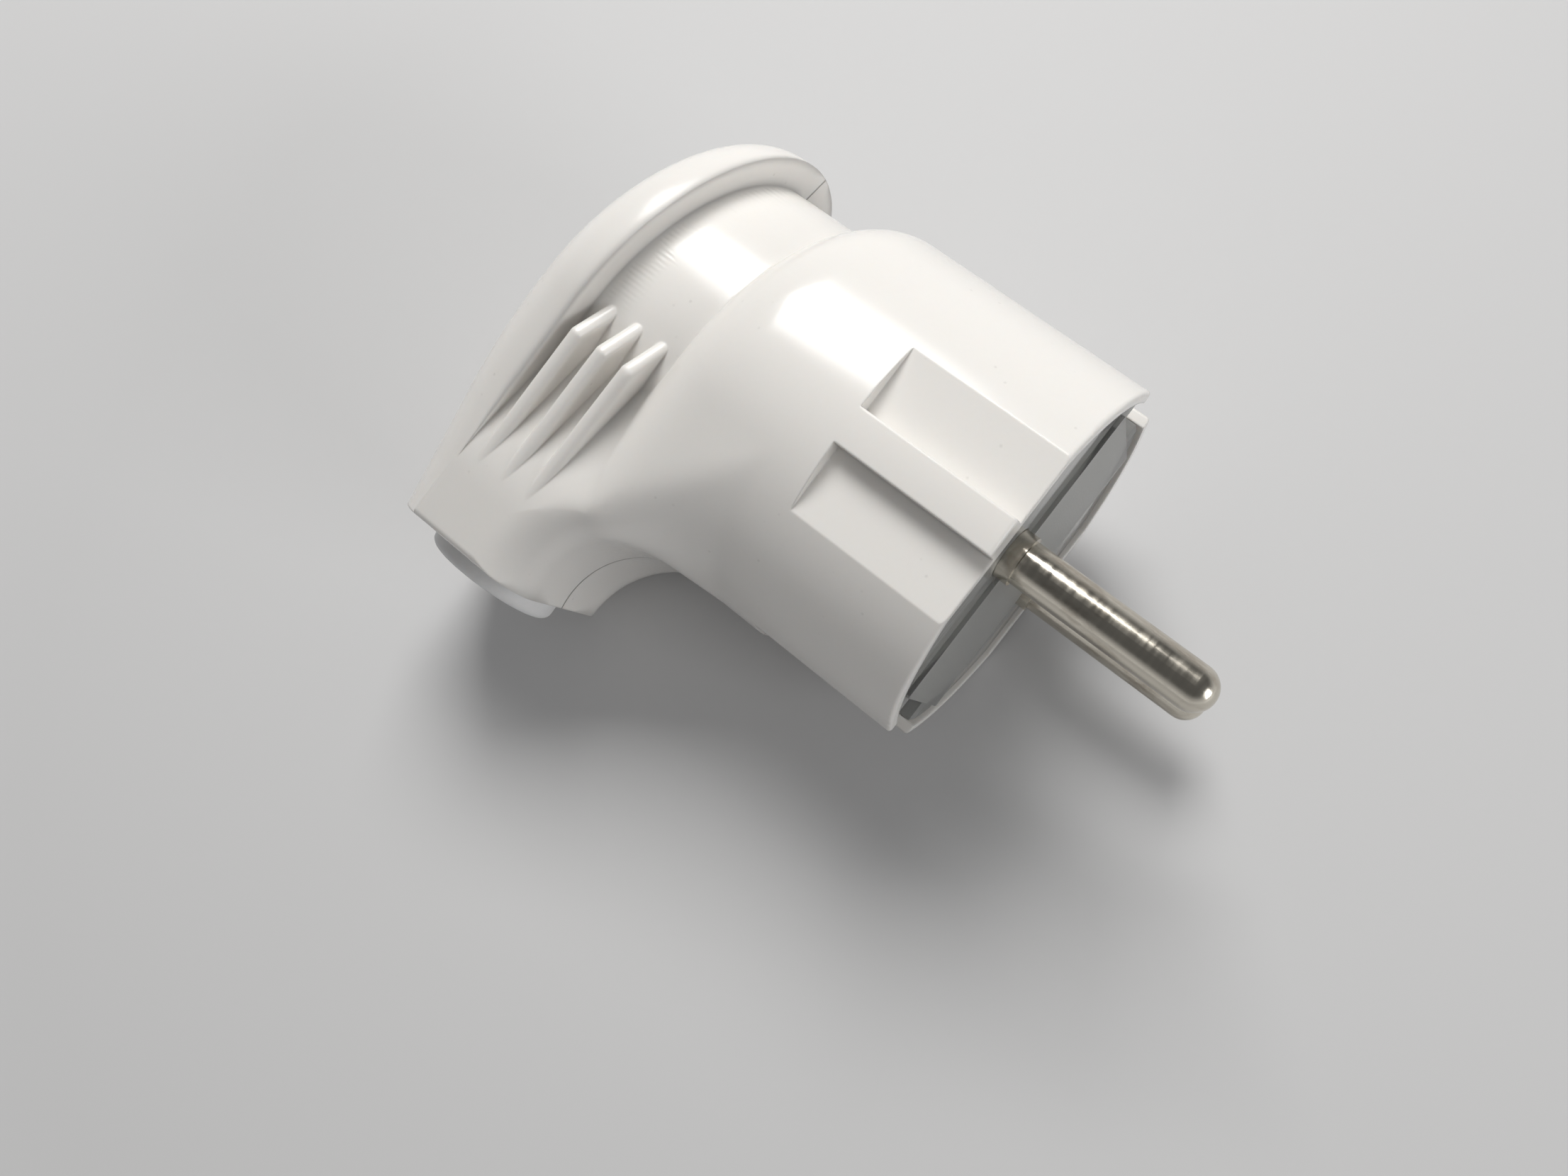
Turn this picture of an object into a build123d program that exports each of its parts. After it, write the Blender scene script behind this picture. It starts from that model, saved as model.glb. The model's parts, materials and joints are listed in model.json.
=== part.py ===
from build123d import *
import math
import os

os.makedirs("parts", exist_ok=True)

# An angled mains plug that lies on its side, in millimetres. Places are given by three lengths:
# u runs along the pins towards their tips, v runs the way the cable leaves, and w runs across the
# two pins, up through the upper half of the housing. The origin is midway between the pins, in the
# plane of the housing's front rim.

# Contact pins
pin_diameter = 4.0
pin_spacing = 19.0
pin_projection = 19.0
pin_base_diameter = 4.6
pin_base_reach = 0.9
pin_shank_diameter = 3.4
pin_shank_length = 4.0

# Outline of the housing: a round barrel with two flats that close on the cable end
barrel_diameter = 36.6
end_reach = 28.3
end_width = 22.8
end_corner = 0.8
wall = 2.3

# Side view of the housing
rear_u = -47.1
rear_top_u = -41.6
rear_bend_v = 9.5
rear_bend_radius = 60.0
rear_rounding = 4.5
end_front_u = -32.2
throat_radius = 8.5
throat_sink = 0.1
flare_front_u = -17.0
flare_end_radius = 29.0
flare_sink = 0.15
flare_rounding = 4.5
join_length = 4.0
join_overlap = 0.3

# Grip: a narrower neck between the shoulder and the rear flange, all leaning by one angle
grip_lean = 8.8
flange_u = -39.6
shoulder_u = -32.0
shoulder_rounding = 7.0
neck_diameter = 31.0
neck_flat_width = 27.4
neck_fade_radius = 22.0
fin_count = 3
fin_width = 1.3
fin_pitch = 2.85
fin_gap = 1.1
fin_crest = 0.6
fin_foot_v = 3.2
fin_kink_v = 7.0
fin_end_v = 22.0

# Barrel details
side_recess_depth = 1.8
side_recess_length = 15.0
side_rib_width = 3.4
channel_width = 9.0
channel_length = 15.0
front_edge = 0.35

# Face plate
plate_seat_depth = 2.0
plateau_rise = 0.4
plateau_width = 16.0
plate_rim = 1.0
plate_flat_width = 31.2
plate_edge = 0.3
window_v = 14.6

# Inside of the housing
front_bore = 29.8
rear_bore = 28.0
carrier_thickness = 7.0
hollow_u = -27.0
tower_floor = 7.8

# Terminals
block_size = 7.0
block_length = 9.5
block_pocket = 2.0
wire_hole = 3.4
wire_hole_depth = 5.0
post_diameter = 8.4
post_length = 11.6
washer_size = 7.0
washer_thickness = 0.8

# Earth strap
strap_thickness = 0.8
strap_width = 8.0
contact_v = 16.4
contact_end_u = -10.0
strap_leg_v = 12.8
strap_leg_u = -13.5
strap_bend = 1.5

# Screws
screw_diameter = 3.0
small_head = 4.8
large_head = 5.6
head_height = 1.8
slot_width = 0.7
slot_depth = 0.9
terminal_screw_length = 3.9
terminal_screw_back = 2.5
earth_screw_length = 7.0
clamp_screw_length = 8.0
housing_screw_length = 13.0
housing_screw_seat = 8.0
barrel_screw_place = (-27.5, -10.0)
tower_screw_place = (-26.8, 9.0)
screw_boss = 9.2
insert_diameter = 5.0
insert_length = 6.0

# Cord clamp
clamp_u = -37.2
clamp_v = 15.5
clamp_screw_spacing = 9.8
clamp_boss = 5.2
clamp_drop = 1.5
saddle_width = 5.0
saddle_height = 2.5
cord_groove = 6.4

# Cable bushing
bushing_u = -39.9
collar_diameter = 13.2
collar_length = 2.3
sleeve_diameter = 12.0
sleeve_length = 6.3
cord_bore = 6.8
cord_flare = 0.8
rib_depth = 0.8
rib_length = 1.3
rib_back = 3.7

# Clearances
slide_gap = 0.1
press_gap = 0.02

# Lengths that follow from the sizes above
barrel_radius = barrel_diameter / 2
end_distance = math.hypot(end_width / 2, end_reach)
flat_angle = math.asin(barrel_radius / end_distance) - math.atan2(end_width / 2, end_reach)
lean = math.radians(grip_lean)
throat_v = barrel_radius - throat_sink
cavity_end_v = end_reach - tower_floor
rib_v = end_reach - rib_back
throat_u = end_front_u + math.sqrt(throat_radius**2 - (end_reach - throat_v - throat_radius) ** 2)
plate_back_u = -plate_seat_depth
carrier_back_u = plate_back_u - carrier_thickness
block_front_u = carrier_back_u + block_pocket
block_back_u = block_front_u - block_length
post_end_u = carrier_back_u - post_length
strap_web_u = post_end_u - strap_thickness / 2
washer_front_u = post_end_u - strap_thickness
earth_head_u = washer_front_u - washer_thickness
tongue_v = contact_v - strap_thickness / 2
plate_radius = barrel_radius - plate_rim

# The plug lies on the flat of its lower half, so its own directions are turned by the flat's angle
cable_way = Vector(0, -math.cos(flat_angle), -math.sin(flat_angle))
across = Vector(0, -math.sin(flat_angle), math.cos(flat_angle))
face = Plane(origin=(0, 0, 0), x_dir=across, z_dir=(1, 0, 0))
side = Plane(origin=(0, 0, 0), x_dir=(1, 0, 0), z_dir=-across)
mid = Plane(origin=(0, 0, 0), x_dir=(1, 0, 0), z_dir=across)
down = Plane(origin=(0, 0, 0), x_dir=(1, 0, 0), z_dir=cable_way)


# A plane across the plug that leans with the grip and crosses the pins' middle plane at u
def grip_plane(u):
    way = Vector(1, 0, 0) * math.cos(lean) + cable_way * math.sin(lean)
    return Plane(origin=(u, 0, 0), x_dir=across, z_dir=way)


# Half the width of the housing at v, on its flat
def flat_w(v):
    return (barrel_radius - v * math.sin(flat_angle)) / math.cos(flat_angle)


# Outline in w and v: the barrel's circle and the two flats, down to v = reach
def body_outline(reach, corner=0.0):
    flat_start = (barrel_radius * math.cos(flat_angle), barrel_radius * math.sin(flat_angle))
    with BuildSketch() as outline:
        Circle(barrel_radius)
        with Locations((0, reach)):
            Rectangle(barrel_diameter, barrel_diameter, align=(Align.CENTER, Align.MIN), mode=Mode.SUBTRACT)
        with BuildLine():
            Polyline((0, 0), flat_start, (flat_w(reach), reach), (0, reach), close=True)
        make_face()
        mirror(about=Plane.YZ)
        if corner:
            fillet(outline.vertices().group_by(Axis.Y)[-1], radius=corner)
    return outline.sketch


# Outline in w and v of the narrow neck, which runs out into the flats
def neck_outline(inset=0.0):
    with BuildSketch() as outline:
        Circle(neck_diameter / 2 - inset)
        Rectangle(neck_flat_width - 2 * inset, end_reach, align=(Align.CENTER, Align.MIN))
        add(body_outline(end_reach, end_corner), mode=Mode.INTERSECT)
        if inset == 0:
            fade_w = neck_flat_width / 2
            fade_v = (barrel_radius - fade_w * math.cos(flat_angle)) / math.sin(flat_angle)
            ends = [outline.vertices().sort_by_distance((sign * fade_w, fade_v))[0] for sign in (1, -1)]
            fillet(ends, radius=neck_fade_radius)
        if inset:
            with BuildSketch(mode=Mode.PRIVATE) as inner:
                add(body_outline(end_reach))
                offset(amount=-inset, kind=Kind.INTERSECTION)
            add(inner.sketch, mode=Mode.INTERSECT)
    return outline.sketch


# Side view in u and v: slanted back, cable end and the hollow throat under the barrel
def side_outline(inset=0.0):
    top_v = -barrel_radius - 2 * throat_sink
    with BuildSketch() as outline:
        with BuildLine():
            Polyline(
                (throat_u, throat_v),
                (0, throat_v),
                (0, top_v),
                (rear_top_u, top_v),
                (rear_u, rear_bend_v),
                (rear_u, end_reach),
                (end_front_u, end_reach),
            )
            TangentArc((throat_u, throat_v), (end_front_u, end_reach), tangent=(-1, 0))
        make_face()
        bend = outline.vertices().sort_by_distance((rear_u, rear_bend_v))[0]
        fillet(bend, radius=rear_bend_radius)
        if inset:
            offset(amount=-inset, kind=Kind.INTERSECTION)
    return outline.sketch


# The edges round the rearmost faces of a form, apart from the cut that faces the cable end
def back_rim(form):
    edges = form.faces().filter_by(lambda f: f.normal_at().X < -0.9).edges()
    rim = [edge for edge in edges if sum(edge.is_same(other) for other in edges) == 1]
    lowest = max(side.to_local_coords(edge.center()).Y for edge in rim)
    return [edge for edge in rim if side.to_local_coords(edge.center()).Y < lowest - 0.01]


# Rear flange, with the soft edge round its back
with BuildPart() as flange_form:
    with BuildSketch(face.offset(rear_u - 1)):
        add(body_outline(end_reach))
    extrude(amount=-rear_u)
    split(bisect_by=grip_plane(flange_u), keep=Keep.BOTTOM)
    with BuildSketch(side):
        add(side_outline())
    extrude(amount=barrel_diameter, both=True, mode=Mode.INTERSECT)
    fillet(back_rim(flange_form), radius=rear_rounding)
    with BuildSketch(face.offset(rear_u)):
        add(body_outline(end_reach, end_corner))
    extrude(amount=-rear_u, mode=Mode.INTERSECT)

# Shoulder behind the barrel, well rounded where it drops to the neck
with BuildPart() as shoulder_form:
    with BuildSketch(face.offset(flare_front_u)):
        add(body_outline(end_reach + shoulder_rounding))
        offset(amount=-shoulder_rounding, kind=Kind.INTERSECTION)
    extrude(amount=rear_u)
    split(bisect_by=grip_plane(shoulder_u + shoulder_rounding / math.cos(lean)), keep=Keep.TOP)
    offset(amount=shoulder_rounding, kind=Kind.ARC)


# The edges that faces of two groups share
def shared_edges(first, second):
    others = [edge for form in second for edge in form.edges()]
    return [edge for form in first for edge in form.edges() if any(edge.is_same(other) for other in others)]


# Body that flares from the barrel into the tower, with the creases of its underside rounded
with BuildPart() as flare_form:
    with BuildSketch(face):
        add(body_outline(end_reach))
    extrude(amount=rear_u)
    with BuildSketch(side):
        add(side_outline())
    extrude(amount=barrel_diameter, both=True, mode=Mode.INTERSECT)
    with BuildSketch(side):
        with BuildLine():
            flare_v = barrel_radius - flare_sink
            Polyline(
                (flare_front_u, flare_v),
                (flare_front_u + join_length, flare_v),
                (flare_front_u + join_length, 0),
                (rear_u - join_length, 0),
                (rear_u - join_length, 2 * flare_end_radius),
                (end_front_u, 2 * flare_end_radius),
                (end_front_u, flare_end_radius),
            )
            TangentArc((flare_front_u, flare_v), (end_front_u, flare_end_radius), tangent=(-1, 0))
        make_face()
    revolve(axis=Axis.X, mode=Mode.INTERSECT)
    flare_faces = flare_form.faces().filter_by(GeomType.TORUS)
    plane_faces = flare_form.faces().filter_by(GeomType.PLANE)
    flat_faces = plane_faces.filter_by(lambda f: abs(f.normal_at().dot(across)) > 0.9)
    round_faces = flare_form.faces().filter_by(GeomType.CYLINDER)
    throat_faces = round_faces.filter_by(lambda f: side.to_local_coords(f.center()).Y > throat_v)
    creases = shared_edges(flare_faces, flat_faces) + shared_edges(flare_faces + flat_faces, throat_faces)
    fillet(creases, radius=flare_rounding)


# Outline of one grip fin, which runs out into the flats at its lower end
def fin_outline():
    with BuildSketch() as outline:
        with BuildLine():
            Polyline(
                (0, fin_foot_v),
                (math.sqrt((neck_diameter / 2) ** 2 - fin_foot_v**2), fin_foot_v),
                (flat_w(fin_kink_v), fin_kink_v),
                (flat_w(fin_end_v), fin_end_v),
                (0, fin_end_v),
                close=True,
            )
        make_face()
        mirror(about=Plane.YZ)
    return outline.sketch


# Grip fins with round crests
fin_forms = []
for number in range(fin_count):
    fin_u = flange_u + fin_gap + fin_width / 2 + number * fin_pitch
    with BuildPart() as fin:
        with BuildSketch(grip_plane(fin_u)):
            add(fin_outline())
            offset(amount=-fin_crest, kind=Kind.INTERSECTION)
        extrude(amount=fin_width / 2 - fin_crest, both=True)
        offset(amount=fin_crest, kind=Kind.ARC)
    fin_forms.append(fin.part)

# Whole outside of the housing, before it is hollowed and split
with BuildPart() as outer_form:
    add(shoulder_form.part)
    with BuildSketch(face.offset(flare_front_u - join_length)):
        add(neck_outline())
    extrude(amount=rear_u - flare_front_u)
    split(bisect_by=grip_plane(flange_u - join_overlap), keep=Keep.TOP)
    add(flare_form.part, mode=Mode.INTERSECT)
    add(flange_form.part)
    with BuildSketch(face):
        Circle(barrel_radius)
    extrude(amount=flare_front_u - join_length)
    fillet(outer_form.edges().sort_by(Axis.X)[-1], radius=front_edge)
    add(fin_forms)


# A place on the split plane, given by u and v
def on_mid(u, v):
    return (u, -v)


# Hollow of the neck and the tower, one wall inside the outer form
with BuildPart() as rear_hollow:
    with BuildSketch(face.offset(hollow_u)):
        add(neck_outline(wall))
    extrude(amount=rear_u - hollow_u)
    with BuildSketch(side):
        add(side_outline(wall))
        with Locations((rear_u, cavity_end_v)):
            Rectangle(-rear_u, end_reach, align=(Align.MIN, Align.MIN), mode=Mode.SUBTRACT)
    extrude(amount=barrel_diameter, both=True, mode=Mode.INTERSECT)

# Whole hollow of the housing, round the bosses of the two housing screws
with BuildPart() as cavity_form:
    add(rear_hollow.part)
    with BuildSketch(face.offset(carrier_back_u - slide_gap)):
        Circle(front_bore / 2)
    extrude(amount=-carrier_back_u)
    with BuildSketch(face.offset(carrier_back_u)):
        Circle(rear_bore / 2)
    extrude(amount=hollow_u - carrier_back_u)
    with BuildSketch(mid):
        with Locations(on_mid(*barrel_screw_place), on_mid(*tower_screw_place)):
            Circle(screw_boss / 2)
    extrude(amount=barrel_diameter, both=True, mode=Mode.SUBTRACT)

# What both halves share: side recesses, contact channels, plate seat and the bushing's bore
with BuildPart() as housing_form:
    add(outer_form.part)
    add(cavity_form.part, mode=Mode.SUBTRACT)
    for sign in (1, -1):
        with BuildSketch(face):
            with Locations((sign * (barrel_diameter - side_recess_depth), 0)):
                Rectangle(barrel_diameter, barrel_diameter)
                Rectangle(barrel_diameter, side_rib_width, mode=Mode.SUBTRACT)
        extrude(amount=-side_recess_length, mode=Mode.SUBTRACT)
        with BuildSketch(face):
            with Locations((0, sign * barrel_radius)):
                Rectangle(channel_width, 2 * (barrel_radius - strap_leg_v))
        extrude(amount=-channel_length, mode=Mode.SUBTRACT)
    with BuildSketch(face):
        Circle(plate_radius)
        Rectangle(plate_flat_width, barrel_diameter, mode=Mode.INTERSECT)
    extrude(amount=-plate_seat_depth, mode=Mode.SUBTRACT)
    with BuildSketch(side):
        with BuildLine():
            Polyline(
                (bushing_u, cavity_end_v - join_length),
                (bushing_u + sleeve_diameter / 2 + slide_gap, cavity_end_v - join_length),
                (bushing_u + sleeve_diameter / 2 + slide_gap, rib_v),
                (bushing_u + sleeve_diameter / 2 - rib_depth + slide_gap, rib_v),
                (bushing_u + sleeve_diameter / 2 - rib_depth + slide_gap, rib_v + rib_length),
                (bushing_u + sleeve_diameter / 2 + slide_gap, rib_v + rib_length),
                (bushing_u + sleeve_diameter / 2 + slide_gap, end_reach + join_length),
                (bushing_u, end_reach + join_length),
                close=True,
            )
        make_face()
    bushing_axis = Axis(down.from_local_coords((bushing_u, 0, 0)), cable_way)
    revolve(axis=bushing_axis, mode=Mode.SUBTRACT)

# Lower half: clearance holes and sunk seats for the two screws
with BuildPart() as lower_housing_half:
    add(housing_form.part)
    split(bisect_by=mid, keep=Keep.BOTTOM)
    with BuildSketch(mid):
        with Locations(on_mid(*barrel_screw_place), on_mid(*tower_screw_place)):
            Circle(screw_diameter / 2 + slide_gap)
    extrude(amount=-housing_screw_seat, mode=Mode.SUBTRACT)
    with BuildSketch(mid.offset(-housing_screw_seat)):
        with Locations(on_mid(*barrel_screw_place), on_mid(*tower_screw_place)):
            Circle(large_head / 2 + slide_gap)
    extrude(amount=-barrel_diameter, mode=Mode.SUBTRACT)

# Upper half: pockets for the threaded inserts and the bosses of the cord clamp
clamp_screw_places = [(clamp_u - clamp_screw_spacing / 2, clamp_v), (clamp_u + clamp_screw_spacing / 2, clamp_v)]
with BuildPart() as upper_housing_half:
    add(housing_form.part)
    split(bisect_by=mid, keep=Keep.TOP)
    with BuildSketch(mid.offset(-clamp_drop)):
        with Locations(*[on_mid(*place) for place in clamp_screw_places]):
            Circle(clamp_boss / 2)
    extrude(amount=clamp_drop + neck_flat_width / 2 - wall / 2)
    with BuildSketch(mid):
        with Locations(on_mid(*barrel_screw_place), on_mid(*tower_screw_place)):
            Circle(insert_diameter / 2)
    extrude(amount=insert_length, mode=Mode.SUBTRACT)
    with BuildSketch(mid.offset(-clamp_drop)):
        with Locations(*[on_mid(*place) for place in clamp_screw_places]):
            Circle(screw_diameter / 2 + press_gap)
    extrude(amount=clamp_screw_length - saddle_height + slide_gap, mode=Mode.SUBTRACT)

# Clear face plate: a disc with two flats, a raised middle strip and windows over the contacts
with BuildPart() as face_plate:
    with BuildSketch(face.offset(plate_back_u)):
        Circle(plate_radius - slide_gap)
        Rectangle(plate_flat_width - 2 * slide_gap, barrel_diameter, mode=Mode.INTERSECT)
        for sign in (1, -1):
            with Locations((0, sign * (window_v + barrel_radius / 2))):
                Rectangle(channel_width, barrel_radius, mode=Mode.SUBTRACT)
    extrude(amount=plate_seat_depth - plateau_rise)
    front_edges = face_plate.faces().sort_by(Axis.X)[-1].edges()
    chamfer(front_edges, length=plate_edge)
    with BuildSketch(face.offset(-plateau_rise)):
        Circle(plate_radius - plate_rim)
        Rectangle(plateau_width, 2 * (window_v - plate_edge), mode=Mode.INTERSECT)
    extrude(amount=plateau_rise)
    with BuildSketch(face.offset(plate_back_u)):
        with Locations((pin_spacing / 2, 0), (-pin_spacing / 2, 0)):
            Circle(pin_base_diameter / 2 + slide_gap)
    extrude(amount=plate_seat_depth, mode=Mode.SUBTRACT)

# Pin carrier: a disc with a tongue behind each side contact and a post for the earth terminal
with BuildPart() as pin_carrier:
    with BuildSketch(face.offset(carrier_back_u)):
        Circle(front_bore / 2 - slide_gap)
        Rectangle(channel_width - 4 * slide_gap, 2 * tongue_v)
    extrude(amount=carrier_thickness)
    with BuildSketch(face.offset(carrier_back_u)):
        Circle(post_diameter / 2)
    extrude(amount=-post_length)
    with BuildSketch(face.offset(carrier_back_u)):
        with Locations((pin_spacing / 2, 0), (-pin_spacing / 2, 0)):
            Rectangle(block_size + 2 * slide_gap, block_size + 2 * slide_gap)
    extrude(amount=block_pocket, mode=Mode.SUBTRACT)
    with BuildSketch(face.offset(carrier_back_u)):
        with Locations((pin_spacing / 2, 0), (-pin_spacing / 2, 0)):
            Circle(pin_base_diameter / 2 + slide_gap)
    extrude(amount=carrier_thickness, mode=Mode.SUBTRACT)
    with BuildSketch(face.offset(post_end_u)):
        Circle(screw_diameter / 2 + press_gap)
    extrude(amount=earth_screw_length, mode=Mode.SUBTRACT)

# Earth strap: one bent strip whose two ends are the side contacts
with BuildPart() as earth_strap:
    with BuildSketch(side):
        with BuildLine() as strap_path:
            FilletPolyline(
                (plate_back_u - slide_gap, contact_v),
                (contact_end_u, contact_v),
                (strap_leg_u, strap_leg_v),
                (strap_web_u, strap_leg_v),
                (strap_web_u, -strap_leg_v),
                (strap_leg_u, -strap_leg_v),
                (contact_end_u, -contact_v),
                (plate_back_u - slide_gap, -contact_v),
                radius=strap_bend,
            )
        trace(strap_path.line, line_width=strap_thickness)
    extrude(amount=strap_width / 2, both=True)
    with BuildSketch(face.offset(earth_head_u)):
        Circle(screw_diameter / 2 + slide_gap)
    extrude(amount=post_end_u - earth_head_u, mode=Mode.SUBTRACT)

# Square washer that would hold the earth wire on the strap
with BuildPart() as earth_clamp_washer:
    with BuildSketch(face.offset(earth_head_u)):
        RectangleRounded(washer_size, washer_size, slot_width)
        Circle(screw_diameter / 2 + slide_gap, mode=Mode.SUBTRACT)
    extrude(amount=washer_thickness)

# Saddle that would hold the cord, arched over the cord's groove
with BuildPart() as cord_clamp_saddle:
    with BuildSketch(mid.offset(-clamp_drop)):
        with Locations(on_mid(clamp_u, clamp_v)):
            SlotCenterToCenter(clamp_screw_spacing, saddle_width)
    extrude(amount=-saddle_height)
    with BuildSketch(down.offset(clamp_v)):
        with Locations((clamp_u, 0)):
            Circle(cord_groove / 2)
    extrude(amount=saddle_width, both=True, mode=Mode.SUBTRACT)
    with BuildSketch(mid.offset(-clamp_drop)):
        with Locations(*[on_mid(*place) for place in clamp_screw_places]):
            Circle(screw_diameter / 2 + slide_gap)
    extrude(amount=-saddle_height, mode=Mode.SUBTRACT)

# Cable bushing: a collar outside, a grooved sleeve inside and a flared bore
with BuildPart() as cable_bushing:
    with BuildSketch(side):
        with BuildLine():
            Polyline(
                (bushing_u + cord_bore / 2, end_reach - sleeve_length),
                (bushing_u + sleeve_diameter / 2, end_reach - sleeve_length),
                (bushing_u + sleeve_diameter / 2, rib_v - slide_gap),
                (bushing_u + sleeve_diameter / 2 - rib_depth, rib_v - slide_gap),
                (bushing_u + sleeve_diameter / 2 - rib_depth, rib_v + rib_length + slide_gap),
                (bushing_u + sleeve_diameter / 2, rib_v + rib_length + slide_gap),
                (bushing_u + sleeve_diameter / 2, end_reach),
                (bushing_u + collar_diameter / 2, end_reach),
                (bushing_u + collar_diameter / 2, end_reach + collar_length),
                (bushing_u + cord_bore / 2, end_reach + collar_length),
                close=True,
            )
        make_face()
    revolve(axis=bushing_axis)
    collar_edges = cable_bushing.faces().sort_by(Axis.Y)[0].edges().sort_by(SortBy.LENGTH)
    fillet(collar_edges, radius=cord_flare)

# Contact pins with a thicker base, and the brass blocks pressed on their shanks
for name, sign in (("live", 1), ("neutral", -1)):
    pin_w = sign * pin_spacing / 2
    with BuildPart() as pin:
        with BuildSketch(face.offset(block_front_u)):
            with Locations((pin_w, 0)):
                Circle(pin_diameter / 2)
        extrude(amount=pin_projection - block_front_u)
        fillet(pin.edges().sort_by(Axis.X)[-1], radius=pin_diameter / 2 - press_gap)
        with BuildSketch(face.offset(block_front_u)):
            with Locations((pin_w, 0)):
                Circle(pin_base_diameter / 2)
        extrude(amount=pin_base_reach - block_front_u)
        with BuildSketch(face.offset(block_front_u)):
            with Locations((pin_w, 0)):
                Circle(pin_shank_diameter / 2)
        extrude(amount=-pin_shank_length)
    pin.part.label = f"{name}_pin"
    export_step(pin.part, f"parts/{name}_pin.step")

    with BuildPart() as block:
        with BuildSketch(face.offset(block_back_u)):
            with Locations((pin_w, 0)):
                Rectangle(block_size, block_size)
        extrude(amount=block_length)
        with BuildSketch(face.offset(block_front_u)):
            with Locations((pin_w, 0)):
                Circle(pin_shank_diameter / 2 + press_gap)
        extrude(amount=-pin_shank_length, mode=Mode.SUBTRACT)
        with BuildSketch(face.offset(block_back_u)):
            with Locations((pin_w, 0)):
                Circle(wire_hole / 2)
        extrude(amount=wire_hole_depth, mode=Mode.SUBTRACT)
        with BuildSketch(down):
            with Locations((block_back_u + terminal_screw_back, pin_w)):
                Circle(screw_diameter / 2 + press_gap)
        extrude(amount=-block_size, mode=Mode.SUBTRACT)
    block.part.label = f"{name}_terminal_block"
    export_step(block.part, f"parts/{name}_terminal_block.step")

# Threaded inserts of the housing screws
for name, place in (("barrel", barrel_screw_place), ("tower", tower_screw_place)):
    with BuildPart() as insert:
        with BuildSketch(mid):
            with Locations(on_mid(*place)):
                Circle(insert_diameter / 2)
                Circle(screw_diameter / 2 + press_gap, mode=Mode.SUBTRACT)
        extrude(amount=insert_length)
    insert.part.label = f"{name}_screw_insert"
    export_step(insert.part, f"parts/{name}_screw_insert.step")


# A slotted screw whose head stands on the seat plane
def slotted_screw(seat, head_diameter, length):
    with BuildPart() as screw:
        with BuildSketch(seat):
            Circle(head_diameter / 2)
        extrude(amount=head_height)
        with BuildSketch(seat):
            Circle(screw_diameter / 2)
        extrude(amount=-length)
        with BuildSketch(seat.offset(head_height)):
            Rectangle(head_diameter, slot_width)
        extrude(amount=-slot_depth, mode=Mode.SUBTRACT)
    return screw.part


# The plane that a screw's head stands on: its place, and the way its head faces
def seat_plane(base, x, y, height, outward=1):
    return Plane(origin=base.from_local_coords((x, y, height)), x_dir=base.x_dir, z_dir=base.z_dir * outward)


terminal_u = block_back_u + terminal_screw_back
clamp_seat = -clamp_drop - saddle_height
rear_clamp_place = on_mid(*clamp_screw_places[0])
front_clamp_place = on_mid(*clamp_screw_places[1])
screws = {
    "live_terminal_screw": (seat_plane(down, terminal_u, pin_spacing / 2, -block_size / 2, -1), small_head),
    "neutral_terminal_screw": (seat_plane(down, terminal_u, -pin_spacing / 2, -block_size / 2, -1), small_head),
    "earth_terminal_screw": (seat_plane(face, 0, 0, earth_head_u, -1), large_head),
    "rear_clamp_screw": (seat_plane(mid, *rear_clamp_place, clamp_seat, -1), small_head),
    "front_clamp_screw": (seat_plane(mid, *front_clamp_place, clamp_seat, -1), small_head),
    "barrel_housing_screw": (seat_plane(mid, *on_mid(*barrel_screw_place), -housing_screw_seat, -1), large_head),
    "tower_housing_screw": (seat_plane(mid, *on_mid(*tower_screw_place), -housing_screw_seat, -1), large_head),
}
screw_lengths = {
    "live_terminal_screw": terminal_screw_length,
    "neutral_terminal_screw": terminal_screw_length,
    "earth_terminal_screw": earth_screw_length + strap_thickness + washer_thickness - slide_gap,
    "rear_clamp_screw": clamp_screw_length,
    "front_clamp_screw": clamp_screw_length,
    "barrel_housing_screw": housing_screw_length,
    "tower_housing_screw": housing_screw_length,
}
for name, (seat, head_diameter) in screws.items():
    screw = slotted_screw(seat, head_diameter, screw_lengths[name])
    screw.label = name
    export_step(screw, f"parts/{name}.step")

for name, piece in {
    "lower_housing_half": lower_housing_half,
    "upper_housing_half": upper_housing_half,
    "face_plate": face_plate,
    "pin_carrier": pin_carrier,
    "earth_strap": earth_strap,
    "earth_clamp_washer": earth_clamp_washer,
    "cord_clamp_saddle": cord_clamp_saddle,
    "cable_bushing": cable_bushing,
}.items():
    piece.part.label = name
    export_step(piece.part, f"parts/{name}.step")
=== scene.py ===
import bpy
import json
import math
from mathutils import Euler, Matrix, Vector


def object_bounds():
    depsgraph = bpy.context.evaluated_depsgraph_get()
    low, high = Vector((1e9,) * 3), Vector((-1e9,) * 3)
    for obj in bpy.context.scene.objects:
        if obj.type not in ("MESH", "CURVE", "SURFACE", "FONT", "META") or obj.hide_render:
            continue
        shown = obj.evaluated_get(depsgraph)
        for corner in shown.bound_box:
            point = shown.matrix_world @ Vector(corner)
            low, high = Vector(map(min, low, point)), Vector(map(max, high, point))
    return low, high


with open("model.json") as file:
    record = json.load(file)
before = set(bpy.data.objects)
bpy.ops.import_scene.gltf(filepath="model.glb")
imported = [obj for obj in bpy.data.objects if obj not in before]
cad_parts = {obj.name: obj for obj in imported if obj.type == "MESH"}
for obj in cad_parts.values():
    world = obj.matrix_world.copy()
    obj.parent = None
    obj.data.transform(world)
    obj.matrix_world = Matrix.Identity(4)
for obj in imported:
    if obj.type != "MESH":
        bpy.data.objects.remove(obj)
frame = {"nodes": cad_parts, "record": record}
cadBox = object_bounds()
nodes = frame["nodes"]
print("frame loaded:", len(nodes), "pieces")

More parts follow.
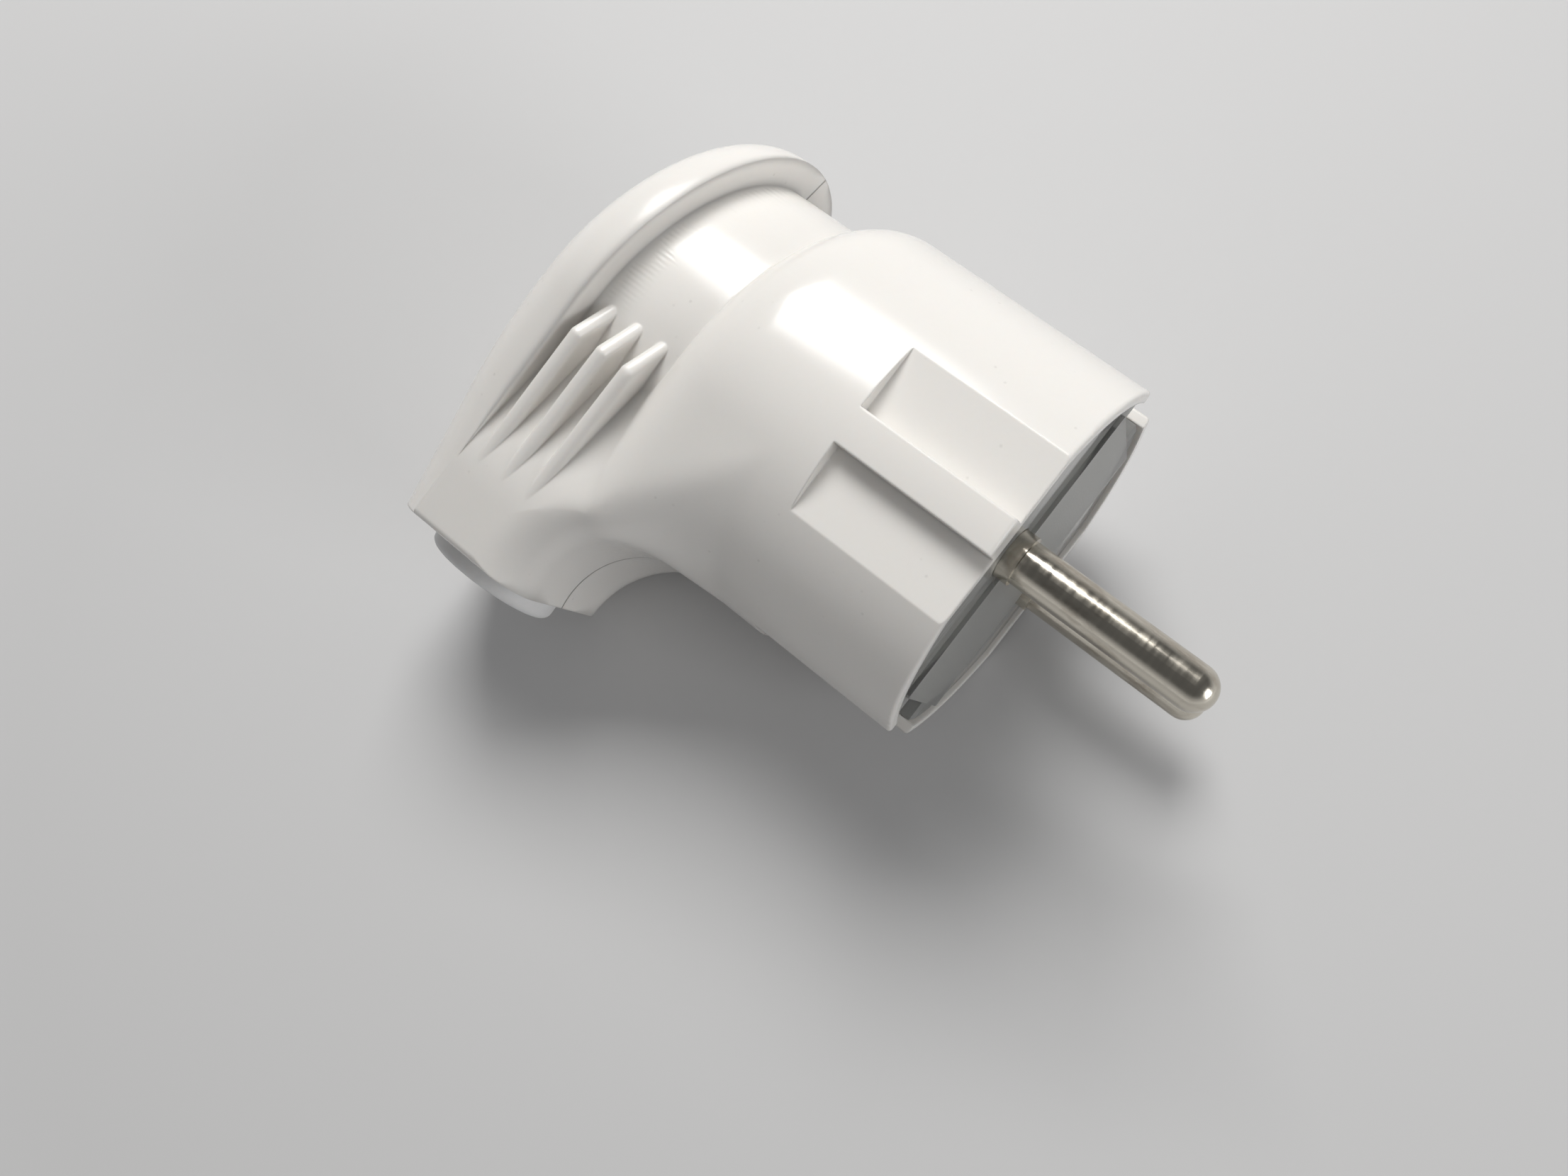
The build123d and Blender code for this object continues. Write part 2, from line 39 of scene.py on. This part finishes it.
# The plug lies on the flat of its lower half, so its split plane leans by this much
layout = {
    "flatAngle": math.radians(14.915),  # lean of the split plane from level
    "gripLean": math.radians(8.8),  # lean of the grip's flange from the pins' square
    "flangePlace": -0.0396,  # where the flange's front crosses the pins' middle plane
}
acrossWay = Vector((0, -math.sin(layout["flatAngle"]), math.cos(layout["flatAngle"])))
cableWay = Vector((0, -math.cos(layout["flatAngle"]), -math.sin(layout["flatAngle"])))
gripWay = Vector((1, 0, 0)) + cableWay * math.tan(layout["gripLean"])


# Small helpers for node trees

def newMaterial(name):
    material = bpy.data.materials.new(name)
    material.use_nodes = True
    return material


def shaderOf(material):
    return material.node_tree.nodes["Principled BSDF"]


def addNode(tree, kind, place=(0, 0), **values):
    node = tree.nodes.new(kind)
    node.location = place
    for key, value in values.items():
        setattr(node, key, value)
    return node


def addMath(tree, operation, first, second=None, third=None, place=(0, 0)):
    node = addNode(tree, "ShaderNodeMath", place, operation=operation)
    for socket, value in zip(node.inputs, (first, second, third)):
        if value is None:
            continue
        if isinstance(value, (int, float)):
            socket.default_value = value
        else:
            tree.links.new(value, socket)
    return node.outputs[0]


def addRange(tree, value, fromMin, fromMax, toMin=0.0, toMax=1.0, place=(0, 0)):
    node = addNode(tree, "ShaderNodeMapRange", place, clamp=True)
    tree.links.new(value, node.inputs["Value"])
    limits = {"From Min": fromMin, "From Max": fromMax, "To Min": toMin, "To Max": toMax}
    for name, number in limits.items():
        node.inputs[name].default_value = number
    return node.outputs["Result"]


def addColourMix(tree, factor, first, second, place=(0, 0)):
    node = addNode(tree, "ShaderNodeMix", place, data_type="RGBA")
    sockets = (node.inputs["Factor"], node.inputs["A"], node.inputs["B"])
    for socket, value in zip(sockets, (factor, first, second)):
        if isinstance(value, (int, float, tuple)):
            socket.default_value = value
        else:
            tree.links.new(value, socket)
    return node.outputs["Result"]


def newGroup(name, inputs, outputs):
    group = bpy.data.node_groups.new(name, "ShaderNodeTree")
    for socketName, kind, value in inputs:
        socket = group.interface.new_socket(socketName, in_out="INPUT", socket_type=kind)
        if value is not None:
            socket.default_value = value
    for socketName, kind in outputs:
        group.interface.new_socket(socketName, in_out="OUTPUT", socket_type=kind)
    entry = addNode(group, "NodeGroupInput", (-900, 0))
    leave = addNode(group, "NodeGroupOutput", (700, 0))
    return group, entry, leave


def placeGroup(tree, group, place=(0, 0), **values):
    node = addNode(tree, "ShaderNodeGroup", place, node_tree=group)
    for name, value in values.items():
        node.inputs[name].default_value = value
    return node


def dotWith(tree, vector, direction, place=(0, 0)):
    node = addNode(tree, "ShaderNodeVectorMath", place, operation="DOT_PRODUCT")
    tree.links.new(vector, node.inputs[0])
    node.inputs[1].default_value = direction
    return node.outputs["Value"]


# Shared effects

mouldedForm = {
    "grainShare": 0.01,  # of the grain's height against the waves'
    "dustSize": 900.0,
    "dustEdge": (0.05, 0.16),
    "patchSize": 260.0,  # dust lies in patches
    "patchEdge": (0.60, 0.66),
}


def makeMouldedSurface():
    # faint waviness of a moulded wall, fine grain of its gloss, and sparse dust
    group, entry, leave = newGroup(
        "mouldedSurface",
        [("Wave Size", "NodeSocketFloat", 120.0), ("Grain Size", "NodeSocketFloat", 2500.0),
         ("Dust", "NodeSocketFloat", 0.2)],
        [("Height", "NodeSocketFloat"), ("Grain", "NodeSocketFloat"), ("Dust", "NodeSocketFloat")],
    )
    coords = addNode(group, "ShaderNodeTexCoord", (-900, 300))
    wave = addNode(group, "ShaderNodeTexNoise", (-600, 300))
    group.links.new(coords.outputs["Object"], wave.inputs["Vector"])
    group.links.new(entry.outputs["Wave Size"], wave.inputs["Scale"])
    wave.inputs["Detail"].default_value = 1.0
    grain = addNode(group, "ShaderNodeTexNoise", (-600, 50))
    group.links.new(coords.outputs["Object"], grain.inputs["Vector"])
    group.links.new(entry.outputs["Grain Size"], grain.inputs["Scale"])
    grain.inputs["Detail"].default_value = 2.0
    specks = addNode(group, "ShaderNodeTexVoronoi", (-600, -250))
    specks.inputs["Scale"].default_value = mouldedForm["dustSize"]
    group.links.new(coords.outputs["Object"], specks.inputs["Vector"])
    dots = addRange(group, specks.outputs["Distance"], *mouldedForm["dustEdge"], 1.0, 0.0, (-350, -250))
    patches = addNode(group, "ShaderNodeTexNoise", (-600, -500))
    patches.inputs["Scale"].default_value = mouldedForm["patchSize"]
    group.links.new(coords.outputs["Object"], patches.inputs["Vector"])
    few = addRange(group, patches.outputs["Fac"], *mouldedForm["patchEdge"], place=(-350, -500))
    dust = addMath(group, "MULTIPLY", addMath(group, "MULTIPLY", dots, few, place=(-150, -350)),
                   entry.outputs["Dust"], place=(50, -350))
    height = addMath(group, "MULTIPLY_ADD", grain.outputs["Fac"], mouldedForm["grainShare"], wave.outputs["Fac"],
                     place=(-300, 200))
    group.links.new(height, leave.inputs["Height"])
    group.links.new(grain.outputs["Fac"], leave.inputs["Grain"])
    group.links.new(dust, leave.inputs["Dust"])
    return group


def makePartingLine():
    # the thin groove where the two halves of the housing meet
    group, entry, leave = newGroup(
        "partingLine",
        [("Half Width", "NodeSocketFloat", 0.00012)],
        [("Line", "NodeSocketFloat")],
    )
    coords = addNode(group, "ShaderNodeTexCoord", (-700, 200))
    height = dotWith(group, coords.outputs["Object"], acrossWay, (-500, 200))
    away = addMath(group, "ABSOLUTE", height, place=(-300, 200))
    share = addMath(group, "DIVIDE", away, entry.outputs["Half Width"], place=(-100, 200))
    line = addRange(group, share, 0.4, 1.0, 1.0, 0.0, (100, 200))
    group.links.new(line, leave.inputs["Line"])
    return group


throatPlace = {
    "down": (0.004, 0.009),  # the mask fades in between these
    "aside": (0.003, 0.006),
}


def makeThroatMask():
    # where the barrel blends softly into the tower, away from the split between the halves
    group, entry, leave = newGroup(
        "throatMask",
        [("Front", "NodeSocketFloat", -0.0175), ("Back", "NodeSocketFloat", -0.034),
         ("Fade", "NodeSocketFloat", 0.002)],
        [("Mask", "NodeSocketFloat")],
    )
    coords = addNode(group, "ShaderNodeTexCoord", (-900, 200))
    along = dotWith(group, coords.outputs["Object"], (1, 0, 0), (-700, 300))
    down = dotWith(group, coords.outputs["Object"], cableWay, (-700, 100))
    aside = addMath(group, "ABSOLUTE", dotWith(group, coords.outputs["Object"], acrossWay, (-700, -100)),
                    place=(-500, -100))
    ahead = addMath(group, "DIVIDE", addMath(group, "SUBTRACT", entry.outputs["Front"], along, place=(-500, 400)),
                    entry.outputs["Fade"], place=(-350, 400))
    behind = addMath(group, "DIVIDE", addMath(group, "SUBTRACT", along, entry.outputs["Back"], place=(-500, 250)),
                     entry.outputs["Fade"], place=(-350, 250))
    lengthwise = addMath(group, "MULTIPLY", addRange(group, ahead, 0.0, 1.0, place=(-150, 400)),
                         addRange(group, behind, 0.0, 1.0, place=(-150, 250)), place=(50, 350))
    low = addRange(group, down, *throatPlace["down"], place=(-350, 80))
    wide = addRange(group, aside, *throatPlace["aside"], place=(-350, -100))
    sideways = addMath(group, "MULTIPLY", low, wide, place=(50, 0))
    mask = addMath(group, "MULTIPLY", lengthwise, sideways, place=(250, 200))
    group.links.new(mask, leave.inputs["Mask"])
    return group


flangeFade = {
    "behind": (-0.0012, -0.0002),
    "above": (0.0, 0.006),
    "aside": (0.001, 0.0025),
}


def makeFlangeMask():
    # the rear flange, whose front edge is softer than the rest, down to where the tower begins
    group, entry, leave = newGroup(
        "flangeMask",
        [("Start", "NodeSocketFloat", layout["flangePlace"]), ("Low End", "NodeSocketFloat", 0.019)],
        [("Mask", "NodeSocketFloat")],
    )
    coords = addNode(group, "ShaderNodeTexCoord", (-900, 200))
    along = dotWith(group, coords.outputs["Object"], gripWay, (-700, 250))
    down = dotWith(group, coords.outputs["Object"], cableWay, (-700, 50))
    aside = addMath(group, "ABSOLUTE", dotWith(group, coords.outputs["Object"], acrossWay, (-700, -150)),
                    place=(-500, -150))
    behind = addMath(group, "SUBTRACT", entry.outputs["Start"], along, place=(-500, 250))
    above = addMath(group, "SUBTRACT", entry.outputs["Low End"], down, place=(-500, 50))
    near = addRange(group, behind, *flangeFade["behind"], place=(-300, 250))
    high = addRange(group, above, *flangeFade["above"], place=(-300, 50))
    wide = addRange(group, aside, *flangeFade["aside"], place=(-300, -150))
    mask = addMath(group, "MULTIPLY", near, addMath(group, "MULTIPLY", high, wide, place=(-100, 0)), place=(100, 150))
    group.links.new(mask, leave.inputs["Mask"])
    return group


toolForm = {
    "patchSize": 450.0,
    "ragged": 1.2,  # how unevenly the marks end
    "endFade": (0.9, 1.5),  # in shares of their reach
    "startFade": (0.0002, 0.0008),
    "lowFade": (0.002, 0.005),
    "asideFade": (0.006, 0.009),
    "wornEdge": (0.42, 0.60),
}


def makeToolMarks():
    # short ripples that the mould cutter left on the neck, at the foot of the flange
    group, entry, leave = newGroup(
        "toolMarks",
        [("Spacing", "NodeSocketFloat", 0.00045), ("Reach", "NodeSocketFloat", 0.0042)],
        [("Height", "NodeSocketFloat")],
    )
    coords = addNode(group, "ShaderNodeTexCoord", (-900, 200))
    along = dotWith(group, coords.outputs["Object"], gripWay, (-700, 300))
    down = dotWith(group, coords.outputs["Object"], cableWay, (-700, 100))
    aside = addMath(group, "ABSOLUTE", dotWith(group, coords.outputs["Object"], acrossWay, (-700, -100)),
                    place=(-500, -100))
    ahead = addMath(group, "SUBTRACT", along, layout["flangePlace"], place=(-500, 300))
    share = addMath(group, "DIVIDE", ahead, entry.outputs["Reach"], place=(-300, 300))
    patches = addNode(group, "ShaderNodeTexNoise", (-500, -300))
    patches.inputs["Scale"].default_value = toolForm["patchSize"]
    group.links.new(coords.outputs["Object"], patches.inputs["Vector"])
    ragged = addMath(group, "MULTIPLY_ADD", patches.outputs["Fac"], toolForm["ragged"], share, place=(-150, 300))
    near = addRange(group, ragged, *toolForm["endFade"], 1.0, 0.0, (50, 300))
    ripple = addMath(group, "DIVIDE", down, entry.outputs["Spacing"], place=(-300, 100))
    wave = addMath(group, "SINE", addMath(group, "MULTIPLY", ripple, math.tau, place=(-150, 100)), place=(50, 100))
    wide = addRange(group, aside, *toolForm["asideFade"], place=(-300, -100))
    above = addRange(group, down, *toolForm["lowFade"], 1.0, 0.0, (-150, 0))
    start = addRange(group, ahead, *toolForm["startFade"], place=(50, -100))
    neck = addMath(group, "MULTIPLY", above, start, place=(120, 0))
    depth = addMath(group, "MULTIPLY", near, addMath(group, "MULTIPLY", wide, neck, place=(200, -100)),
                    place=(250, 100))
    worn = addRange(group, patches.outputs["Fac"], *toolForm["wornEdge"], place=(200, -300))
    height = addMath(group, "MULTIPLY", addMath(group, "MULTIPLY", wave, depth, place=(400, 100)),
                     worn, place=(550, 100))
    group.links.new(height, leave.inputs["Height"])
    return group


metalForm = {
    "markStretch": (1.0, 0.12, 0.12),  # rings round the pins' axis
    "cloudStretch": (0.4, 1.0, 1.0),
    "cloudEdge": (0.48, 0.72),
}


def makeMetalMarks():
    # fine turning marks round the pins' axis, and cloudy tarnish, which on the pins also serves as painted dark
    # reflection
    group, entry, leave = newGroup(
        "metalMarks",
        [("Mark Size", "NodeSocketFloat", 2200.0), ("Cloud Size", "NodeSocketFloat", 260.0)],
        [("Marks", "NodeSocketFloat"), ("Tarnish And Dark Reflection", "NodeSocketFloat")],
    )
    coords = addNode(group, "ShaderNodeTexCoord", (-900, 200))
    squeeze = addNode(group, "ShaderNodeMapping", (-700, 300))
    squeeze.inputs["Scale"].default_value = metalForm["markStretch"]
    group.links.new(coords.outputs["Object"], squeeze.inputs["Vector"])
    marks = addNode(group, "ShaderNodeTexNoise", (-450, 300))
    group.links.new(squeeze.outputs["Vector"], marks.inputs["Vector"])
    group.links.new(entry.outputs["Mark Size"], marks.inputs["Scale"])
    marks.inputs["Detail"].default_value = 3.0
    stretch = addNode(group, "ShaderNodeMapping", (-700, 0))
    stretch.inputs["Scale"].default_value = metalForm["cloudStretch"]
    group.links.new(coords.outputs["Object"], stretch.inputs["Vector"])
    cloud = addNode(group, "ShaderNodeTexNoise", (-450, 0))
    group.links.new(stretch.outputs["Vector"], cloud.inputs["Vector"])
    group.links.new(entry.outputs["Cloud Size"], cloud.inputs["Scale"])
    cloud.inputs["Detail"].default_value = 5.0
    cloud.inputs["Roughness"].default_value = 0.65
    tarnishAndDarkReflection = addRange(group, cloud.outputs["Fac"], *metalForm["cloudEdge"], place=(-200, 0))
    group.links.new(marks.outputs["Fac"], leave.inputs["Marks"])
    group.links.new(tarnishAndDarkReflection, leave.inputs["Tarnish And Dark Reflection"])
    return group


mouldedSurface = makeMouldedSurface()
partingLine = makePartingLine()
throatMask = makeThroatMask()
flangeMask = makeFlangeMask()
toolMarks = makeToolMarks()
metalMarks = makeMetalMarks()
print("shared effects made")


# Housing and other plastics

housingLook = {
    "colour": (0.84, 0.82, 0.79, 1),
    "shadeColour": (0.825, 0.805, 0.775, 1),
    "seamColour": (0.68, 0.65, 0.62, 1),
    "dustColour": (0.42, 0.40, 0.38, 1),
    "dust": 0.25,
    "roughness": (0.17, 0.23),
    "waveSize": 90.0,
    "waveHeight": 0.00005,
    "seamDepth": 0.00012,
    "toolDepth": 0.000014,  # of the cutter's ripples
    "edgeRadius": 0.0003,  # softness of the moulded edges
    "throatRadius": 0.0028,  # softer still where the barrel blends into the tower
    "flangeRadius": 0.0015,
    "refraction": 1.5,
    "softness": 0.12,  # light that soaks into the wall
    "softReach": (0.0012, 0.0009, 0.0007),
}


def plasticMaterial(name, look, seam):
    material = newMaterial(name)
    tree = material.node_tree
    shader = shaderOf(material)
    surface = placeGroup(tree, mouldedSurface, (-900, 0), **{"Wave Size": look["waveSize"], "Dust": look["dust"]})
    base = addColourMix(tree, surface.outputs["Grain"], look["colour"], look["shadeColour"], (-500, 300))
    dusty = addColourMix(tree, surface.outputs["Dust"], base, look["dustColour"], (-300, 300))
    rough = addRange(tree, surface.outputs["Grain"], 0.3, 0.7, *look["roughness"], place=(-500, -50))
    bump = addNode(tree, "ShaderNodeBump", (-350, -350))
    bump.inputs["Strength"].default_value = 1.0
    bump.inputs["Distance"].default_value = look["waveHeight"]
    tree.links.new(surface.outputs["Height"], bump.inputs["Height"])
    softEdge = addNode(tree, "ShaderNodeBevel", (-600, -450), samples=6)
    softEdge.inputs["Radius"].default_value = look["edgeRadius"]
    if seam:
        blend = placeGroup(tree, throatMask, (-1000, -650))
        rim = placeGroup(tree, flangeMask, (-1000, -850))
        reach = addRange(tree, blend.outputs["Mask"], 0.0, 1.0, look["edgeRadius"], look["throatRadius"],
                         (-800, -650))
        rimReach = addRange(tree, rim.outputs["Mask"], 0.0, 1.0, look["edgeRadius"], look["flangeRadius"],
                            (-800, -850))
        wider = addMath(tree, "MAXIMUM", reach, rimReach, place=(-650, -700))
        tree.links.new(wider, softEdge.inputs["Radius"])
    tree.links.new(softEdge.outputs["Normal"], bump.inputs["Normal"])
    normal = bump.outputs["Normal"]
    if seam:
        line = placeGroup(tree, partingLine, (-900, -500))
        dusty = addColourMix(tree, line.outputs["Line"], dusty, look["seamColour"], (-150, 300))
        groove = addNode(tree, "ShaderNodeBump", (-150, -350), invert=True)
        groove.inputs["Distance"].default_value = look["seamDepth"]
        tree.links.new(line.outputs["Line"], groove.inputs["Height"])
        tree.links.new(normal, groove.inputs["Normal"])
        marks = placeGroup(tree, toolMarks, (-600, -950))
        ripples = addNode(tree, "ShaderNodeBump", (50, -350))
        ripples.inputs["Distance"].default_value = look["toolDepth"]
        tree.links.new(marks.outputs["Height"], ripples.inputs["Height"])
        tree.links.new(groove.outputs["Normal"], ripples.inputs["Normal"])
        normal = ripples.outputs["Normal"]
    tree.links.new(dusty, shader.inputs["Base Color"])
    tree.links.new(rough, shader.inputs["Roughness"])
    tree.links.new(normal, shader.inputs["Normal"])
    shader.inputs["IOR"].default_value = look["refraction"]
    shader.inputs["Subsurface Weight"].default_value = look["softness"]
    shader.inputs["Subsurface Radius"].default_value = look["softReach"]
    shader.inputs["Subsurface Scale"].default_value = 1.0
    return material


bushingLook = dict(housingLook, colour=(0.80, 0.80, 0.80, 1), shadeColour=(0.74, 0.74, 0.745, 1),
                   roughness=(0.38, 0.50), dust=0.1)
insertLook = dict(housingLook, colour=(0.76, 0.755, 0.74, 1), shadeColour=(0.70, 0.695, 0.68, 1),
                  roughness=(0.45, 0.6), dust=0.1)


# Clear face plate: frosted middle strip between two clear side zones

plateLook = {
    "colour": (0.80, 0.805, 0.785, 1),
    "clearness": 0.78,  # how much light goes through
    "stripHalfWidth": 0.008,
    "stripFade": 0.0002,
    "clearRoughness": 0.10,
    "frostRoughness": 0.40,
    "frostHeight": 0.00003,
    "frostSize": 4000.0,
    "refraction": 1.49,
}


def clearPlateMaterial(look):
    material = newMaterial("clearPlate")
    tree = material.node_tree
    shader = shaderOf(material)
    coords = addNode(tree, "ShaderNodeTexCoord", (-1100, 200))
    offset = addMath(tree, "ABSOLUTE", dotWith(tree, coords.outputs["Object"], acrossWay, (-900, 200)),
                     place=(-700, 200))
    strip = addRange(tree, offset, look["stripHalfWidth"] - look["stripFade"], look["stripHalfWidth"], 1.0, 0.0,
                     (-500, 200))
    grain = placeGroup(tree, mouldedSurface, (-900, -200), **{"Grain Size": look["frostSize"], "Dust": 0.0})
    frost = addMath(tree, "MULTIPLY", grain.outputs["Grain"], strip, place=(-500, -150))
    rough = addRange(tree, strip, 0.0, 1.0, look["clearRoughness"], look["frostRoughness"], (-300, 200))
    bump = addNode(tree, "ShaderNodeBump", (-250, -200))
    bump.inputs["Distance"].default_value = look["frostHeight"]
    tree.links.new(frost, bump.inputs["Height"])
    tree.links.new(rough, shader.inputs["Roughness"])
    tree.links.new(bump.outputs["Normal"], shader.inputs["Normal"])
    shader.inputs["Base Color"].default_value = look["colour"]
    shader.inputs["Transmission Weight"].default_value = look["clearness"]
    shader.inputs["IOR"].default_value = look["refraction"]
    return material


# Metals

# on the pins the dark tarnish colour at a heavy share is partly real blotchy tarnish and partly painted dark
# reflection, so the metal is darker than its own colour
pinLook = {
    "colour": (0.66, 0.62, 0.54, 1),
    "tarnishAndDarkReflectionColour": (0.20, 0.14, 0.09, 1),
    "tarnishAndDarkReflection": 0.85,
    "roughness": (0.14, 0.26),
    "markHeight": 0.000003,
}
stripLook = dict(pinLook, colour=(0.72, 0.69, 0.63, 1), tarnishAndDarkReflection=0.30, roughness=(0.20, 0.30))
brassLook = dict(pinLook, colour=(0.80, 0.61, 0.31, 1), tarnishAndDarkReflectionColour=(0.50, 0.33, 0.14, 1), roughness=(0.25, 0.42))
steelLook = dict(pinLook, colour=(0.62, 0.62, 0.63, 1), tarnishAndDarkReflectionColour=(0.40, 0.39, 0.38, 1), tarnishAndDarkReflection=0.3,
                 roughness=(0.24, 0.40))


def metalMaterial(name, look):
    material = newMaterial(name)
    tree = material.node_tree
    shader = shaderOf(material)
    marks = placeGroup(tree, metalMarks, (-900, 0))
    # tarnish clouds darken the metal's colour; on the pins this is partly painted dark reflection
    cloud = addMath(tree, "MULTIPLY", marks.outputs["Tarnish And Dark Reflection"], look["tarnishAndDarkReflection"], place=(-650, 200))
    colour = addColourMix(tree, cloud, look["colour"], look["tarnishAndDarkReflectionColour"], (-400, 300))
    rough = addRange(tree, marks.outputs["Marks"], 0.3, 0.7, *look["roughness"], place=(-400, 0))
    bump = addNode(tree, "ShaderNodeBump", (-300, -300))
    bump.inputs["Distance"].default_value = look["markHeight"]
    tree.links.new(marks.outputs["Marks"], bump.inputs["Height"])
    tree.links.new(colour, shader.inputs["Base Color"])
    tree.links.new(rough, shader.inputs["Roughness"])
    tree.links.new(bump.outputs["Normal"], shader.inputs["Normal"])
    shader.inputs["Metallic"].default_value = 1.0
    return material


finishes = {
    "white_plastic": plasticMaterial("whitePlastic", housingLook, seam=True),
    "bushing_plastic": plasticMaterial("bushingPlastic", bushingLook, seam=False),
    "insert_plastic": plasticMaterial("insertPlastic", insertLook, seam=False),
    "clear_plastic": clearPlateMaterial(plateLook),
    "nickel": metalMaterial("nickel", pinLook),
    "brass": metalMaterial("brass", brassLook),
    "steel": metalMaterial("steel", steelLook),
    "strip": metalMaterial("contactStrip", stripLook),
}
ownFinish = {"earth_strap": "strip"}
for piece in frame["record"]["subparts"]:
    mesh = nodes[piece["node"]].data
    mesh.materials.clear()
    mesh.materials.append(finishes[ownFinish.get(piece["node"], piece["material_slot"])])
print("finishes given to", len(nodes), "pieces")


# Floor and light

floorLook = {
    "size": 16.0,
    "colour": (0.60, 0.60, 0.605, 1),
    "roughness": 0.75,
    "farGlow": 0.46,  # keeps the floor pale beyond the lamps' reach
    "glowFrom": 0.10,
    "glowFull": 0.60,
}


def seenRays(tree, place):
    # 1 for what the camera sees, directly, in gloss or through clear plastic
    path = addNode(tree, "ShaderNodeLightPath", place)
    shiny = addMath(tree, "MAXIMUM", path.outputs["Is Glossy Ray"], path.outputs["Is Transmission Ray"],
                    place=(place[0] + 200, place[1] - 100))
    return addMath(tree, "MAXIMUM", path.outputs["Is Camera Ray"], shiny, place=(place[0] + 400, place[1]))


def makeFloor(look):
    bpy.ops.mesh.primitive_plane_add(size=look["size"], location=(0, 0, cadBox[0][2]))
    floor = bpy.context.object
    floor.name = "floor"
    material = newMaterial("paleFloor")
    shader = shaderOf(material)
    shader.inputs["Base Color"].default_value = look["colour"]
    shader.inputs["Roughness"].default_value = look["roughness"]
    tree = material.node_tree
    coords = addNode(tree, "ShaderNodeTexCoord", (-900, 0))
    away = addNode(tree, "ShaderNodeVectorMath", (-700, 0), operation="LENGTH")
    tree.links.new(coords.outputs["Object"], away.inputs[0])
    glow = addRange(tree, away.outputs["Value"], look["glowFrom"], look["glowFull"], 0.0, look["farGlow"], (-500, 0))
    seen = seenRays(tree, (-900, -300))
    shade = addMath(tree, "MULTIPLY", glow, seen, place=(-250, -100))
    tree.links.new(shade, shader.inputs["Emission Color"])
    shader.inputs["Emission Strength"].default_value = 1.0
    floor.data.materials.append(material)


makeFloor(floorLook)

lamps = {
    "key": {"place": (-0.15, 0.17, 0.32), "size": 0.20, "power": 1.36, "colour": (1.0, 0.99, 0.97)},
    "side": {"place": (0.40, 0.02, 0.16), "size": 0.20, "power": 0.55, "colour": (1.0, 1.0, 1.0)},
}
lampAim = Vector((-0.015, -0.005, 0))
worldLight = {
    "colour": (1.0, 1.0, 1.0, 1),
    "strength": 0.22,
    "seenLevel": 0.60,  # backdrop at eye level
    "seenOverhead": 0.10,  # the dim room above
    "seenFade": (0.05, 0.55),
}


def makeLamps():
    for name, lamp in lamps.items():
        data = bpy.data.lights.new(name, "AREA")
        data.size = lamp["size"]
        data.energy = lamp["power"]
        data.color = lamp["colour"]
        light = bpy.data.objects.new(name, data)
        light.location = lamp["place"]
        light.rotation_euler = (lampAim - light.location).to_track_quat("-Z", "Y").to_euler()
        bpy.context.scene.collection.objects.link(light)


def makeWorld(look):
    world = bpy.data.worlds.new("studio")
    world.use_nodes = True
    tree = world.node_tree
    backdrop = tree.nodes["Background"]
    backdrop.inputs["Color"].default_value = look["colour"]
    coords = addNode(tree, "ShaderNodeTexCoord", (-1300, -300))
    upward = dotWith(tree, coords.outputs["Generated"], (0, 0, 1), (-1100, -300))
    room = addRange(tree, upward, *look["seenFade"], look["seenLevel"], look["seenOverhead"], (-900, -300))
    more = addMath(tree, "SUBTRACT", room, look["strength"], place=(-700, -300))
    level = addMath(tree, "MULTIPLY_ADD", seenRays(tree, (-900, 0)), more, look["strength"], place=(-300, 0))
    tree.links.new(level, backdrop.inputs["Strength"])
    bpy.context.scene.world = world


makeLamps()
makeWorld(worldLight)
print("floor and lamps set")


# Camera, as the photograph sees the plug

cameraView = {
    "place": (0.01705, -0.03768, 0.11329),
    "turn": (18.85, 4.67, 40.50),  # degrees
    "lens": 31.62,
    "nearClip": 0.001,
}


def makeCamera(view):
    data = bpy.data.cameras.new("camera")
    data.lens = view["lens"]
    data.clip_start = view["nearClip"]
    camera = bpy.data.objects.new("camera", data)
    camera.location = view["place"]
    camera.rotation_euler = Euler([math.radians(angle) for angle in view["turn"]])
    bpy.context.scene.collection.objects.link(camera)
    bpy.context.scene.camera = camera


makeCamera(cameraView)
bpy.context.scene.view_settings.view_transform = "Standard"
